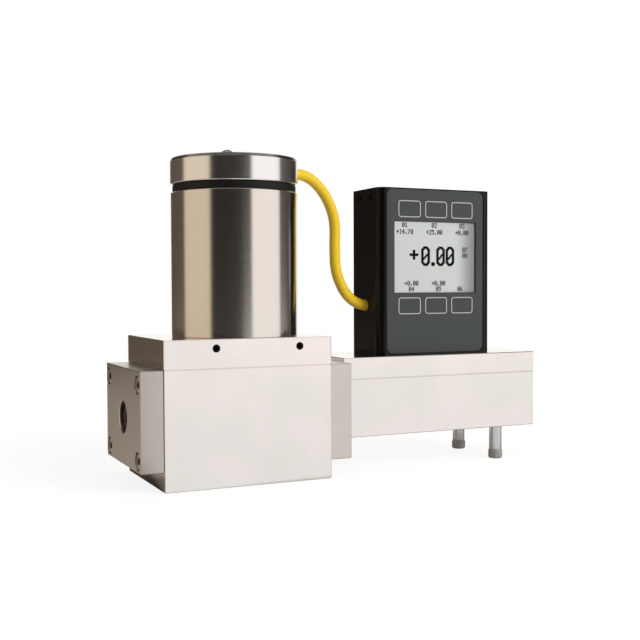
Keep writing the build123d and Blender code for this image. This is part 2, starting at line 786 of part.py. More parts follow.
boss_spacing_x = housing_width - 2 * boss_inset_x
boss_spacing_y = housing_depth - 2 * boss_inset_y
sensor_places = [(housing_x - sensor_spacing / 2, 0), (housing_x + sensor_spacing / 2, 0)]
tap_passage_height = meter_seam + tap_passage_rise
pocket_floor = meter_top - sensor_pocket_depth
with BuildPart() as sensor_plate:
    with Locations((meter_middle, 0, meter_seam + sensor_plate_height / 2)):
        Box(meter_length, meter_width, sensor_plate_height)
    chamfer(sensor_plate.edges(), edge_break)
    # pocket under the display housing for the two pressure sensors
    with BuildSketch(Plane.XY.offset(meter_top)):
        with Locations((housing_x, 0)):
            RectangleRounded(sensor_pocket_length, sensor_pocket_width, sensor_pocket_radius)
    extrude(amount=-sensor_pocket_depth, mode=Mode.SUBTRACT)
    # each tap meets a passage drilled from the plate's end, which ends under a sensor and rises to it
    with Locations(looking_down(0, meter_seam)):
        with Locations(tap_places):
            Hole(tap_diameter / 2, tap_passage_rise)
    for end, direction, sensor in ((meter_left, -1, sensor_places[0]), (meter_right, 1, sensor_places[1])):
        with Locations(facing(end, tap_passage_height, direction)):
            Hole(tap_passage_diameter / 2, abs(end - sensor[0]) + sensor_riser_diameter / 2 + drill_overrun)
            Hole(plug_diameter / 2, plug_length + plug_inset)
    with Locations(Plane.XY.offset(pocket_floor)):
        with Locations(sensor_places):
            Hole(sensor_riser_diameter / 2, pocket_floor - tap_passage_height)
    # tapped holes for the screws from below, and bored holes for those of the housing
    with Locations(looking_down(0, meter_seam)):
        with Locations(lid_screw_places):
            Hole(m3 / 2 + screw_gap, sensor_plate_thread + head_recess)
        with Locations((housing_x, 0)):
            with GridLocations(boss_spacing_x, boss_spacing_y, 2, 2):
                CounterBoreHole(m3 / 2 + clearance_gap, m3_head / 2 + clearance_gap, lid_head_depth)
keep(sensor_plate.part, "sensor_plate")

with BuildPart() as passage_plugs:
    for end, direction in ((meter_left, -1), (meter_right, 1)):
        with Locations(facing(end - direction * plug_inset, tap_passage_height, direction)):
            Cylinder(
                plug_diameter / 2 - screw_gap, plug_length, align=(Align.CENTER, Align.CENTER, Align.MAX)
            )
keep(passage_plugs.part, "passage_plugs")

lid_screw = socket_screw(
    m3, meter_height - lid_head_depth + sensor_plate_thread, m3_head, m3_head_height, m3_socket
)
with BuildPart() as sensor_plate_screws:
    with Locations(looking_down(0, meter_base + lid_head_depth)):
        with Locations(lid_screw_places):
            add(lid_screw)
keep(sensor_plate_screws.part, "sensor_plate_screws")

tap_section = tap_pocket_depth - 2 * ring_gap
tap_ring = o_ring(tap_pocket_diameter / 2 - tap_section / 2 - ring_gap, tap_section)
with BuildPart() as tap_o_rings:
    with Locations(Plane.XY.offset(meter_seam - tap_pocket_depth / 2)):
        with Locations(tap_places):
            add(tap_ring)
keep(tap_o_rings.part, "tap_o_rings")

# laminar flow element: a plug with a close honeycomb of straight channels
element_reach = meter_bore / 2 - element_rim - element_hole_radius
with BuildPart() as laminar_flow_element:
    with BuildSketch(facing(element_start, flow_height, 1)):
        Circle(meter_bore / 2 - seat_gap)
        with Locations(hexagonal_places(element_hole_pitch, element_reach)):
            Circle(element_hole_radius, mode=Mode.SUBTRACT)
    extrude(amount=element_length)
keep(laminar_flow_element.part, "laminar_flow_element")

# open snap ring that sits in the bore's groove in front of the element
retainer_start = element_start - (retainer_groove_width + retainer_thickness) / 2
with BuildPart() as element_retainer:
    with BuildSketch(facing(retainer_start, flow_height, 1)):
        Circle(retainer_groove_radius - screw_gap)
        Circle(meter_bore / 2 - retainer_reach, mode=Mode.SUBTRACT)
        with Locations((0, -retainer_groove_radius)):
            Rectangle(retainer_opening, retainer_groove_radius, mode=Mode.SUBTRACT)
    extrude(amount=retainer_thickness)
keep(element_retainer.part, "element_retainer")

with BuildPart() as inlet_screen:
    with BuildSketch(facing(meter_right - inlet_port_depth, flow_height, 1)):
        Circle(screen_diameter / 2 - seat_gap)
        with Locations(hexagonal_places(screen_hole_pitch, throat_diameter / 2 - screen_hole_radius)):
            Circle(screen_hole_radius, mode=Mode.SUBTRACT)
    extrude(amount=-screen_thickness)
keep(inlet_screen.part, "inlet_screen")

# ---------------------------------------------------------------- support posts
# Each post is turned down at the foot for its cap and at the head for its thread.
post_foot_radius = post_diameter / 2 - post_tip_wall
with BuildPart() as support_posts:
    with Locations(post_places):
        with Locations((0, 0, post_tip_wall)):
            Cylinder(post_foot_radius, post_tip_height, align=(Align.CENTER, Align.CENTER, Align.MIN))
        with Locations((0, 0, post_tip_height)):
            Cylinder(
                post_diameter / 2, meter_base - post_tip_height, align=(Align.CENTER, Align.CENTER, Align.MIN)
            )
        with Locations((0, 0, meter_base)):
            Cylinder(
                post_thread_diameter / 2, post_thread_length, align=(Align.CENTER, Align.CENTER, Align.MIN)
            )
keep(support_posts.part, "support_posts")

# cap of a foot: a cup that swells below the post's own width and is rounded at the floor
tip_radius = post_tip_diameter / 2
with BuildPart() as post_tip:
    with BuildSketch(Plane.XZ):
        with BuildLine():
            Polyline(
                (tip_radius, post_tip_round),
                (tip_radius, post_tip_height - post_tip_flare),
                (tip_radius - post_tip_neck, post_tip_height),
                (post_foot_radius + screw_gap, post_tip_height),
                (post_foot_radius + screw_gap, post_tip_wall),
                (0, post_tip_wall),
                (0, 0),
                (tip_radius - post_tip_round, 0),
            )
            RadiusArc((tip_radius - post_tip_round, 0), (tip_radius, post_tip_round), -post_tip_round)
        make_face()
    revolve(axis=Axis.Z)

with BuildPart() as post_tips:
    with Locations(post_places):
        add(post_tip.part)
keep(post_tips.part, "post_tips")

# ---------------------------------------------------------------- display housing
cavity_width = housing_width - 2 * housing_wall
cavity_depth = housing_depth - 2 * housing_wall
cover_screw_height = housing_top - cover_screw_drop
jack_height = meter_top + jack_from_base
recess_width = panel_width + 2 * panel_gap
recess_height = panel_height + 2 * panel_gap
wall_drill = housing_wall + drill_overrun

with BuildPart() as display_housing:
    with BuildSketch(Plane.XY.offset(meter_top)) as housing_outline:
        with Locations((housing_x, 0)):
            Rectangle(housing_width, housing_depth)
        fillet(housing_outline.vertices().group_by(Axis.Y)[0], housing_front_radius)
        fillet(housing_outline.vertices().group_by(Axis.Y)[-1], housing_back_radius)
    extrude(amount=housing_height)
    with BuildSketch(Plane.XY.offset(meter_top)):
        with Locations((housing_x, 0)):
            RectangleRounded(cavity_width, cavity_depth, housing_cavity_radius)
    extrude(amount=housing_height, mode=Mode.SUBTRACT)
    # screw bosses run up the corners at the foot
    with Locations((housing_x, 0, meter_top)):
        with GridLocations(boss_spacing_x, boss_spacing_y, 2, 2):
            Cylinder(boss_radius, boss_height, align=(Align.CENTER, Align.CENTER, Align.MIN))
            Cylinder(
                m3 / 2 + screw_gap,
                boss_hole_depth,
                align=(Align.CENTER, Align.CENTER, Align.MIN),
                mode=Mode.SUBTRACT,
            )
    # recess for the keypad film, window opening behind it
    with BuildSketch(Plane.XZ.offset(-housing_front)):
        with Locations((housing_x, panel_centre)):
            RectangleRounded(recess_width, recess_height, panel_radius + panel_gap)
    extrude(amount=-panel_recess, mode=Mode.SUBTRACT)
    with BuildSketch(Plane.XZ.offset(-housing_front)):
        with Locations((housing_x, window_centre)):
            Rectangle(window_width, window_height)
    extrude(amount=-housing_wall, mode=Mode.SUBTRACT)
    # cable entry on the left, power jack on the right, screws of the top cover on both sides
    with Locations(facing(housing_left, cable_entry_height, -1)):
        Hole(grommet_radius + seat_gap, wall_drill)
    with Locations(facing(housing_right, jack_height, 1)):
        Hole(jack_nose_radius, wall_drill)
    for side in (-1, 1):
        with Locations(facing(housing_x + side * housing_width / 2, cover_screw_height, side)):
            with GridLocations(cover_screw_spacing, 0, 2, 1):
                CounterBoreHole(m2 / 2 + clearance_gap, m2_head / 2 + screw_gap, m2_head_height, wall_drill)
keep(display_housing.part, "display_housing")

housing_screw = socket_screw(
    m3, sensor_plate_height - lid_head_depth + housing_thread, m3_head, m3_head_height, m3_socket
)
with BuildPart() as housing_screws:
    with Locations(looking_down(housing_x, meter_seam + lid_head_depth)):
        with GridLocations(boss_spacing_x, boss_spacing_y, 2, 2):
            add(housing_screw)
keep(housing_screws.part, "housing_screws")

socket_x = housing_x - socket_from_centre
cover_width = cavity_width - 2 * seat_gap
cover_depth = cavity_depth - 2 * seat_gap
with BuildPart() as top_cover:
    with BuildSketch(Plane.XY.offset(housing_top)):
        with Locations((housing_x, 0)):
            RectangleRounded(cover_width, cover_depth, housing_cavity_radius - seat_gap)
    extrude(amount=-top_cover_thickness)
    # skirts at both ends take the side screws
    with BuildSketch(Plane.XY.offset(housing_top)):
        with Locations((housing_x, 0)):
            Rectangle(cover_width, cover_depth - 2 * cover_skirt_setback)
            Rectangle(cover_width - 2 * cover_skirt_wall, cover_depth, mode=Mode.SUBTRACT)
    extrude(amount=-cover_skirt)
    with Locations((socket_x, 0, housing_top)):
        Hole(socket_radius + seat_gap)
    for side in (-1, 1):
        with Locations(facing(housing_x + side * cover_width / 2, cover_screw_height, side)):
            with GridLocations(cover_screw_spacing, 0, 2, 1):
                Hole(m2 / 2 + screw_gap, cover_skirt_wall)
keep(top_cover.part, "top_cover")

cover_screw = socket_screw(
    m2, housing_wall - m2_head_height + cover_thread, m2_head, m2_head_height, m2_socket
)
with BuildPart() as cover_screws:
    for side in (-1, 1):
        head_x = housing_x + side * (housing_width / 2 - m2_head_height)
        with Locations(facing(head_x, cover_screw_height, side)):
            with GridLocations(cover_screw_spacing, 0, 2, 1):
                add(cover_screw)
keep(cover_screws.part, "cover_screws")

# round signal socket, set in the top cover with a shoulder under it
socket_face = housing_top + socket_proud
with BuildPart() as signal_socket:
    with Locations((socket_x, 0, socket_face)):
        Cylinder(socket_radius, socket_length, align=(Align.CENTER, Align.CENTER, Align.MAX))
    with Locations((socket_x, 0, housing_top - top_cover_thickness)):
        Cylinder(
            socket_radius + socket_collar, socket_collar_height, align=(Align.CENTER, Align.CENTER, Align.MAX)
        )
    with BuildSketch(Plane.XY.offset(socket_face)):
        with Locations((socket_x, 0)):
            Circle(socket_groove_outer)
            Circle(socket_groove_inner, mode=Mode.SUBTRACT)
    extrude(amount=-socket_groove_depth, mode=Mode.SUBTRACT)
    with BuildSketch(Plane.XY.offset(socket_face)):
        with Locations((socket_x, 0)):
            with PolarLocations(socket_pin_circle, socket_pin_count):
                Circle(socket_pin_radius)
    extrude(amount=-socket_pin_depth, mode=Mode.SUBTRACT)
keep(signal_socket.part, "signal_socket")

# barrel power jack behind the right wall, with its round nose in the wall's hole
with BuildPart() as power_jack:
    with Locations(facing(housing_right - housing_wall, jack_height, -1)):
        Box(jack_body_width, jack_body_height, jack_body_depth, align=(Align.CENTER, Align.CENTER, Align.MIN))
    with Locations(facing(housing_right - housing_wall, jack_height, 1)):
        Cylinder(jack_nose_radius - seat_gap, housing_wall, align=(Align.CENTER, Align.CENTER, Align.MIN))
    with Locations(facing(housing_right, jack_height, 1)):
        Hole(jack_bore_radius, jack_bore_depth)
    with Locations(facing(housing_right - jack_bore_depth, jack_height, 1)):
        Cylinder(jack_pin_radius, jack_pin_length, align=(Align.CENTER, Align.CENTER, Align.MIN))
keep(power_jack.part, "power_jack")

# ---------------------------------------------------------------- keypad, window and electronics
film_back = housing_front + panel_recess
with BuildPart() as keypad_switch_film:
    with BuildSketch(Plane.XZ.offset(-film_back)):
        with Locations((housing_x, panel_centre)):
            RectangleRounded(panel_width, panel_height, panel_radius)
        with Locations((housing_x, window_centre)):
            Rectangle(window_width, window_height, mode=Mode.SUBTRACT)
    extrude(amount=film_thickness)
keep(keypad_switch_film.part, "keypad_switch_film")

# front film, embossed with a rim round each of its six keys
with BuildPart() as front_panel:
    with BuildSketch(Plane.XZ.offset(-film_back + film_thickness)):
        with Locations((housing_x, panel_centre)):
            RectangleRounded(panel_width, panel_height, panel_radius)
        with Locations((housing_x, window_centre)):
            Rectangle(window_width, window_height, mode=Mode.SUBTRACT)
    extrude(amount=film_thickness)
    with BuildSketch(Plane.XZ.offset(-film_back + 2 * film_thickness)):
        for row in (window_centre + key_row_above, window_centre - key_row_below):
            with Locations((housing_x, row)):
                with GridLocations(key_pitch, 0, 3, 1):
                    RectangleRounded(key_width, key_height, key_radius)
                    RectangleRounded(
                        key_width - 2 * key_rim_width,
                        key_height - 2 * key_rim_width,
                        key_radius - key_rim_width,
                        mode=Mode.SUBTRACT,
                    )
    extrude(amount=key_rim_rise)
keep(front_panel.part, "front_panel")

with BuildPart() as display_window:
    with BuildSketch(Plane.XZ.offset(-film_back)):
        with Locations((housing_x, window_centre)):
            Rectangle(window_width - 2 * seat_gap, window_height - 2 * seat_gap)
    extrude(amount=2 * film_thickness)
keep(display_window.part, "display_window")

# display module behind the wall, its glass reaching forward through the window opening
lcd_front = housing_front + housing_wall
with BuildPart() as lcd_module:
    with BuildSketch(Plane.XZ.offset(-lcd_front)):
        with Locations((housing_x, window_centre)):
            Rectangle(window_width + 2 * lcd_border, window_height + 2 * lcd_border)
    extrude(amount=-lcd_depth)
    with BuildSketch(Plane.XZ.offset(-lcd_front)):
        with Locations((housing_x, window_centre)):
            Rectangle(window_width - 2 * lcd_glass_inset, window_height - 2 * lcd_glass_inset)
    extrude(amount=housing_wall - panel_recess)
keep(lcd_module.part, "lcd_module")

board_front = lcd_front + lcd_depth + spacer_length
board_height = housing_height - board_foot - board_head
with BuildPart() as main_board:
    with BuildSketch(Plane.XZ.offset(-board_front)):
        with Locations((housing_x - board_shift, meter_top + board_foot + board_height / 2)):
            Rectangle(cavity_width - 2 * board_side_gap, board_height)
        # corner let in for the power jack's body
        with Locations((housing_right - housing_wall - jack_body_depth / 2, jack_height)):
            Rectangle(
                jack_body_depth + 2 * jack_clearance,
                jack_body_height + 2 * jack_clearance,
                mode=Mode.SUBTRACT,
            )
    extrude(amount=-board_thickness)
keep(main_board.part, "main_board")

with BuildPart() as board_spacers:
    with BuildSketch(Plane.XZ.offset(-lcd_front - lcd_depth)):
        with Locations((housing_x, window_centre)):
            with GridLocations(window_width - 2 * spacer_inset, window_height, 2, 2):
                Circle(spacer_radius)
    extrude(amount=-spacer_length)
keep(board_spacers.part, "board_spacers")

with BuildPart() as pressure_sensors:
    with Locations(Plane.XY.offset(pocket_floor)):
        with Locations(sensor_places):
            Box(sensor_length, sensor_width, sensor_height, align=(Align.CENTER, Align.CENTER, Align.MIN))
            with Locations((0, 0, sensor_height)):
                Cylinder(
                    sensor_nozzle_radius, sensor_nozzle_height, align=(Align.CENTER, Align.CENTER, Align.MIN)
                )
keep(pressure_sensors.part, "pressure_sensors")

with BuildPart() as sensor_board:
    with BuildSketch(Plane.XY.offset(pocket_floor + sensor_height + sensor_nozzle_height)):
        with Locations((housing_x, 0)):
            Rectangle(sensor_board_length, sensor_board_width)
    extrude(amount=board_thickness)
keep(sensor_board.part, "sensor_board")

# ---------------------------------------------------------------- cable and its grommets
# One grommet is set just inside the cap's round face, the other fills the housing's left wall.
cap_face = can_x + cap_diameter / 2
with BuildPart() as cable_grommets:
    for start, length, height in (
        (cap_face - cap_wall - grommet_inset, cap_wall - grommet_inset, cable_exit_height),
        (housing_left, housing_wall, cable_entry_height),
    ):
        with BuildSketch(facing(start, height, 1)):
            Circle(grommet_radius)
            Circle(grommet_radius - grommet_wall, mode=Mode.SUBTRACT)
        extrude(amount=length)
keep(cable_grommets.part, "cable_grommets")

cable_points = [
    (-24.0, 0, 135.2),
    (-16.6, 0, 135.2),
    (-9.6, 0, 131.9),
    (-3.1, 0, 124.3),
    (0.7, 0, 114.2),
    (0.4, 0, 102.5),
    (0.6, 0, 91.5),
    (4.2, 0, 82.6),
    (8.8, 0, 77.3),
    (14.2, 0, 74.8),
    (20.1, 0, 74.3),
]
route = [Vector(*point) for point in cable_points]
cable_radii = []
for before, corner, after in zip(route, route[1:], route[2:]):
    shorter_run = min((corner - before).length, (after - corner).length)
    turn = (corner - before).get_angle(after - corner)
    cable_radii.append(0.45 * shorter_run / tan(radians(turn / 2)))
print("cable bend radii", [round(radius, 1) for radius in cable_radii])

with BuildPart() as signal_cable:
    with BuildLine() as cable_line:
        FilletPolyline(*route, radius=cable_radii)
    with BuildSketch(Plane(origin=route[0], z_dir=route[1] - route[0])):
        Circle(cable_diameter / 2)
    sweep()
keep(signal_cable.part, "signal_cable")

cable_length = cable_line.wire().length
cable_section = pi * cable_diameter**2 / 4
cable_volume_ratio = signal_cable.part.volume / (cable_section * cable_length)
print("cable length", round(cable_length, 2))
print("cable volume over section times length", round(cable_volume_ratio, 4))
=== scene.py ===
# A mass flow controller: a ported stainless valve block under a round coil can, joined to a
# narrower flow meter that carries a black display housing. Metres, in the CAD model's frame.
import bpy
import bmesh
import math
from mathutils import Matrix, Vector


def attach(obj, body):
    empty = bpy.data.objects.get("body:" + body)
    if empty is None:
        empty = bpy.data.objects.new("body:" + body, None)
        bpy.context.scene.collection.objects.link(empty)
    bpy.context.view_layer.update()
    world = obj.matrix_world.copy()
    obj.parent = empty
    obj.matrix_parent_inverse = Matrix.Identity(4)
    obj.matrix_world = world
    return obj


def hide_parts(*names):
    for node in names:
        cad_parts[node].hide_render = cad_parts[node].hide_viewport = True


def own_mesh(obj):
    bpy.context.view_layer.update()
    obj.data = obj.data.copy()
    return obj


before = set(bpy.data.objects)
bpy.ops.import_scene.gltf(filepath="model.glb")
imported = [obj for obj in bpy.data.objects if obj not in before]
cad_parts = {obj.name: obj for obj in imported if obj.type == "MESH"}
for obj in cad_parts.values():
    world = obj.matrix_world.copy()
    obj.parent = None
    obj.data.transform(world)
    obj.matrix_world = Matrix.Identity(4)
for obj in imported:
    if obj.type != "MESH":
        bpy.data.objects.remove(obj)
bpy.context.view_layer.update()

# ---------------------------------------------------------------- camera
# A slightly long lens, 83 mm above the bench and nearly level, that looks across the front of
# the valve from its outlet side.
camera_data = bpy.data.cameras.new("camera")
camera_data.lens = 55.93
camera_data.sensor_width = 36.0
camera_data.clip_start = 0.01
camera = bpy.data.objects.new("camera", camera_data)
camera.location = (-0.20309, -0.41665, 0.08292)
camera.rotation_euler = [math.radians(turn) for turn in (90 - 1.841, 0.216, -25.184)]
bpy.context.scene.collection.objects.link(camera)
bpy.context.scene.camera = camera
bpy.context.scene.view_settings.view_transform = "Standard"


# ---------------------------------------------------------------- studio
# A round white bench in a dim room, with one wide white screen at the front right, a pale one
# behind and a tan one at the left. Bare steel shows them as broad upright bands, so their places
# are bearings in degrees, counted from the front (-Y) towards the right (+X).
def linear(colour, shade=1.0):
    """The linear red, green, blue and alpha of an sRGB hex colour, darkened by shade."""
    parts = [int(colour[i:i + 2], 16) / 255 for i in (0, 2, 4)]
    straight = [c / 12.92 if c <= 0.04045 else ((c + 0.055) / 1.055) ** 2.4 for c in parts]
    return [shade * c for c in straight] + [1.0]


def add_node(tree, kind, settings=None, links=None):
    """Adds a shader node with its attributes and sockets, by name or number, and its links."""
    made = tree.nodes.new(kind)
    for name, value in (settings or {}).items():
        if isinstance(name, int) or name in made.inputs:
            made.inputs[name].default_value = value
        else:
            setattr(made, name, value)
    for name, source in (links or {}).items():
        tree.links.new(source, made.inputs[name])
    return made


# a mix node's colour sockets share their names with its other sockets, so they go by number
first_colour, second_colour, mixed_colour = 6, 7, 2


def new_material(name):
    """An empty node material and its node tree."""
    made = bpy.data.materials.new(name)
    made.use_nodes = True
    made.node_tree.nodes.clear()
    return made, made.node_tree


def bearing_colours(tree, x_and_y, stops):
    """The colours of the screens round the object, by the bearing of a direction or a place."""
    forward = add_node(tree, "ShaderNodeMath", {"operation": "MULTIPLY", 1: -1.0},
                       {0: x_and_y.outputs["Y"]})
    bearing = add_node(tree, "ShaderNodeMath", {"operation": "ARCTAN2"},
                       {0: x_and_y.outputs["X"], 1: forward.outputs[0]})
    turn = add_node(tree, "ShaderNodeMapRange", {"From Min": -math.pi, "From Max": math.pi},
                    {"Value": bearing.outputs[0]})
    colours = add_node(tree, "ShaderNodeValToRGB", links={0: turn.outputs[0]})
    ramp = colours.color_ramp
    ramp.elements.remove(ramp.elements[-1])
    ramp.elements[0].position, ramp.elements[0].color = 0.0, linear(stops[0][1])
    for degrees, colour in stops[1:]:
        ramp.elements.new((degrees + 180) / 360).color = linear(colour)
    return colours.outputs[0]


behind_left, left_screen, front_left = "584E45", "D9C9B4", "23201E"
front_right, right_wall, right_corner, behind_right = "FBF7F5", "4B4641", "3A352F", "F9F8F3"
screen_bands = [
    (-180, behind_left), (-124, behind_left), (-118, left_screen), (-67, left_screen),
    (-61, front_left), (4, front_left), (9, "44403D"), (12, front_right), (66, front_right),
    (70, right_wall), (104, "484440"), (108, right_corner), (126, right_corner),
    (130, behind_right), (176, behind_right), (180, behind_left),
]
under_ceiling, ceiling_panel = "6E6A66", "E0DCD8"
world = bpy.data.worlds.new("studio")
world.use_nodes = True
tree = world.node_tree
tree.nodes.clear()
direction = add_node(tree, "ShaderNodeTexCoord")
split = add_node(tree, "ShaderNodeSeparateXYZ", links={0: direction.outputs["Generated"]})
# the screens end under a dark ceiling, which has a pale panel right above the bench; both soft
# edges are given as the sine of the angle upwards
screens_end, ceiling_begins = 0.58, 0.68
ceiling_ends, panel_begins = 0.84, 0.88
over_screens = add_node(tree, "ShaderNodeMapRange",
                        {"From Min": screens_end, "From Max": ceiling_begins},
                        {"Value": split.outputs["Z"]})
over_bench = add_node(tree, "ShaderNodeMapRange",
                      {"From Min": ceiling_ends, "From Max": panel_begins},
                      {"Value": split.outputs["Z"]})
ceiling = add_node(tree, "ShaderNodeMix", {
    "data_type": "RGBA", first_colour: linear(under_ceiling),
    second_colour: linear(ceiling_panel)}, {0: over_bench.outputs[0]})
room = add_node(tree, "ShaderNodeMix", {"data_type": "RGBA"}, {
    0: over_screens.outputs[0], first_colour: bearing_colours(tree, split, screen_bands),
    second_colour: ceiling.outputs[mixed_colour]})
room_light = add_node(tree, "ShaderNodeBackground", {"Strength": 1.1},
                      {"Color": room.outputs[mixed_colour]})
white_paper = add_node(tree, "ShaderNodeBackground", {"Color": (1, 1, 1, 1), "Strength": 1.0})
ray = add_node(tree, "ShaderNodeLightPath")
seen = add_node(tree, "ShaderNodeMixShader", links={
    0: ray.outputs["Is Camera Ray"], 1: room_light.outputs[0], 2: white_paper.outputs[0]})
add_node(tree, "ShaderNodeOutputWorld", links={"Surface": seen.outputs[0]})
bpy.context.scene.world = world

# the bench keeps the object's shadow: the camera sees it evenly white out to its rim, where less
# lamplight falls, and steel sees the screens run down over it from the valve's front left corner
under_back, under_left, under_right, under_white = "4B4239", "B5AA9E", "A39D98", "FFFFFF"
bench_bands = [
    (-180, under_back), (-172, under_back), (-168.5, under_left), (-122, under_left),
    (-116, left_screen), (-67, left_screen), (-61, front_left), (-3, front_left),
    (8, under_white), (84, under_white), (92, under_right), (124, under_right),
    (130, under_white), (174, under_white), (180, under_back),
]
bench_radius = 0.62
front_left_corner = (-0.0902, -0.0285, 0)
bench_white, tree = new_material("white_bench_laminate")
place = add_node(tree, "ShaderNodeTexCoord")
from_corner = add_node(tree, "ShaderNodeMapping", {"Location": -Vector(front_left_corner)},
                       {"Vector": place.outputs["Object"]})
split = add_node(tree, "ShaderNodeSeparateXYZ", links={0: from_corner.outputs[0]})
matt = add_node(tree, "ShaderNodeBsdfDiffuse", {"Color": linear("EEECE8")})
# a painted shadow of the port cap on the bench under it, where the valve's left side mirrors it
full_shade_ends, shade_ends, least_lit = 0.03, 0.055, 0.3
apart = add_node(tree, "ShaderNodeVectorMath", {"operation": "LENGTH"}, {0: from_corner.outputs[0]})
painted_shadow = add_node(tree, "ShaderNodeMapRange",
                  {"From Min": full_shade_ends, "From Max": shade_ends, "To Min": least_lit},
                  {"Value": apart.outputs["Value"]})
to_the_right = add_node(tree, "ShaderNodeMath", {"operation": "GREATER_THAN", 1: 0.0},
                        {0: split.outputs["X"]})
screen_strength = add_node(tree, "ShaderNodeMath", {"operation": "MAXIMUM"},
                           {0: painted_shadow.outputs[0], 1: to_the_right.outputs[0]})
screen_glow = add_node(tree, "ShaderNodeEmission", links={
    "Strength": screen_strength.outputs[0], "Color": bearing_colours(tree, split, bench_bands)})
# the bench glows more towards its rim, to make up for the lamplight that it lacks there
near, far, near_glow, far_glow = 0.12, 0.5, 1.16, 1.36
reach = add_node(tree, "ShaderNodeVectorMath", {"operation": "LENGTH"},
                 {0: place.outputs["Object"]})
evened = add_node(tree, "ShaderNodeMapRange",
                  {"From Min": near, "From Max": far, "To Min": near_glow, "To Max": far_glow},
                  {"Value": reach.outputs["Value"]})
white_glow = add_node(tree, "ShaderNodeEmission", {"Color": (1, 1, 1, 1)},
                      {"Strength": evened.outputs[0]})
ray = add_node(tree, "ShaderNodeLightPath")
seen_straight = add_node(tree, "ShaderNodeMath", {"operation": "MAXIMUM"},
                         {0: ray.outputs["Is Camera Ray"], 1: ray.outputs["Is Transmission Ray"]})
straight_share = add_node(tree, "ShaderNodeMath", {"operation": "MULTIPLY", 1: 0.75},
                          {0: seen_straight.outputs[0]})
mirrored_share = add_node(tree, "ShaderNodeMath", {"operation": "MULTIPLY", 1: 0.85},
                          {0: ray.outputs["Is Glossy Ray"]})
mirrored = add_node(tree, "ShaderNodeMixShader", links={
    0: mirrored_share.outputs[0], 1: matt.outputs[0], 2: screen_glow.outputs[0]})
laminate = add_node(tree, "ShaderNodeMixShader", links={
    0: straight_share.outputs[0], 1: mirrored.outputs[0], 2: white_glow.outputs[0]})
add_node(tree, "ShaderNodeOutputMaterial", links={"Surface": laminate.outputs[0]})

# the bench top is one round sheet
bench_mesh = bpy.data.meshes.new("bench")
shape = bmesh.new()
bmesh.ops.create_circle(shape, cap_ends=True, segments=96, radius=bench_radius)
shape.to_mesh(bench_mesh)
shape.free()
bench_mesh.materials.append(bench_white)
bench = bpy.data.objects.new("bench", bench_mesh)
bpy.context.scene.collection.objects.link(bench)

# one soft lamp shines through the white screen, so steel shows the screen and not the lamp
lamp_data = bpy.data.lights.new("soft_lamp", "AREA")
lamp_data.size = 0.7
lamp_data.energy = 9.0
lamp = bpy.data.objects.new("soft_lamp", lamp_data)
lamp.location = (0.58, -0.98, 0.62)
lamp.rotation_euler = (Vector((0, 0, 0.07)) - lamp.location).to_track_quat("-Z", "Y").to_euler()
lamp.visible_glossy = False
bpy.context.scene.collection.objects.link(lamp)


# ---------------------------------------------------------------- valve block and top plate
# Two blocks of 303 stainless, milled and then ground on every face, that meet in a fine seam.
# The top plate is screwed down from below and holds the can by four set screws.

# the part of its 0 to 1 range that a noise pattern really fills
noise_low, noise_high = 0.3, 0.7


def stainless(name, colour, handled, roughness, grain_mm, grain_depth_mm, lay=(1, 1, 1)):
    """Bare metal with a cut grain of a given width and depth, stretched along the way it was cut,
    and a second colour where it was handled."""
    made, tree = new_material(name)
    place = add_node(tree, "ShaderNodeTexCoord")
    laid = add_node(tree, "ShaderNodeMapping", {"Scale": lay},
                    {"Vector": place.outputs["Object"]})
    grain = add_node(tree, "ShaderNodeTexNoise", {"Scale": 1000 / grain_mm, "Detail": 3.0},
                     {"Vector": laid.outputs[0]})
    # hands and oil leave soft patches
    patch_mm = 30
    patches = add_node(tree, "ShaderNodeTexNoise", {"Scale": 1000 / patch_mm, "Detail": 2.0},
                       {"Vector": place.outputs["Object"]})
    handling = add_node(tree, "ShaderNodeMapRange",
                        {"From Min": noise_low, "From Max": noise_high,
                         "interpolation_type": "SMOOTHSTEP"},
                        {"Value": patches.outputs["Fac"]})
    gloss = add_node(tree, "ShaderNodeMapRange",
                     {"From Min": noise_low, "From Max": noise_high,
                      "To Min": roughness * 0.88, "To Max": roughness * 1.12},
                     {"Value": grain.outputs["Fac"]})
    tint = add_node(tree, "ShaderNodeMix", {
        "data_type": "RGBA", first_colour: linear(handled), second_colour: linear(colour)},
        {0: handling.outputs[0]})
    cut = add_node(tree, "ShaderNodeBump", {"Distance": grain_depth_mm / 1000},
                   {"Height": grain.outputs["Fac"]})
    steel = add_node(tree, "ShaderNodeBsdfPrincipled", {"Metallic": 1.0}, {
        "Base Color": tint.outputs[mixed_colour], "Roughness": gloss.outputs[0],
        "Normal": cut.outputs[0]})
    add_node(tree, "ShaderNodeOutputMaterial", links={"Surface": steel.outputs[0]})
    return made


def finish(material, *nodes):
    """Gives CAD nodes a finish in every one of their material slots."""
    for name in nodes:
        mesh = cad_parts[name].data
        if not mesh.materials:
            mesh.materials.append(material)
        for i in range(len(mesh.materials)):
            mesh.materials[i] = material


# near white where it faces the screen, with fine lines along the block; the real grit leaves
# lines of 0.05 mm, drawn here at 0.25 mm so that they show
along_x = (0.03, 1, 1)
ground_stainless = stainless("ground_stainless", "F1E9E6", "E8E5E0", 0.15, 0.25, 0.0012, along_x)
finish(ground_stainless, "valve_body", "valve_top_plate")
# a dull blue-black skin that still glints on its edges
black_oxide = stainless("black_oxide_screws", "1E1D1D", "191817", 0.38, 0.3, 0.002)
finish(black_oxide, "set_screws", "top_plate_screws")

# ---------------------------------------------------------------- outlet port cap
# A stainless plate with the outlet's pipe thread, held by four socket screws in deep counterbores.
# It keeps its milled skin, greyer and duller than the ground block behind it.
along_y = (1, 0.08, 1)
milled_stainless = stainless("milled_stainless", "CFC7C2", "C7C0BB", 0.32, 0.35, 0.003, along_y)
finish(milled_stainless, "port_cap")
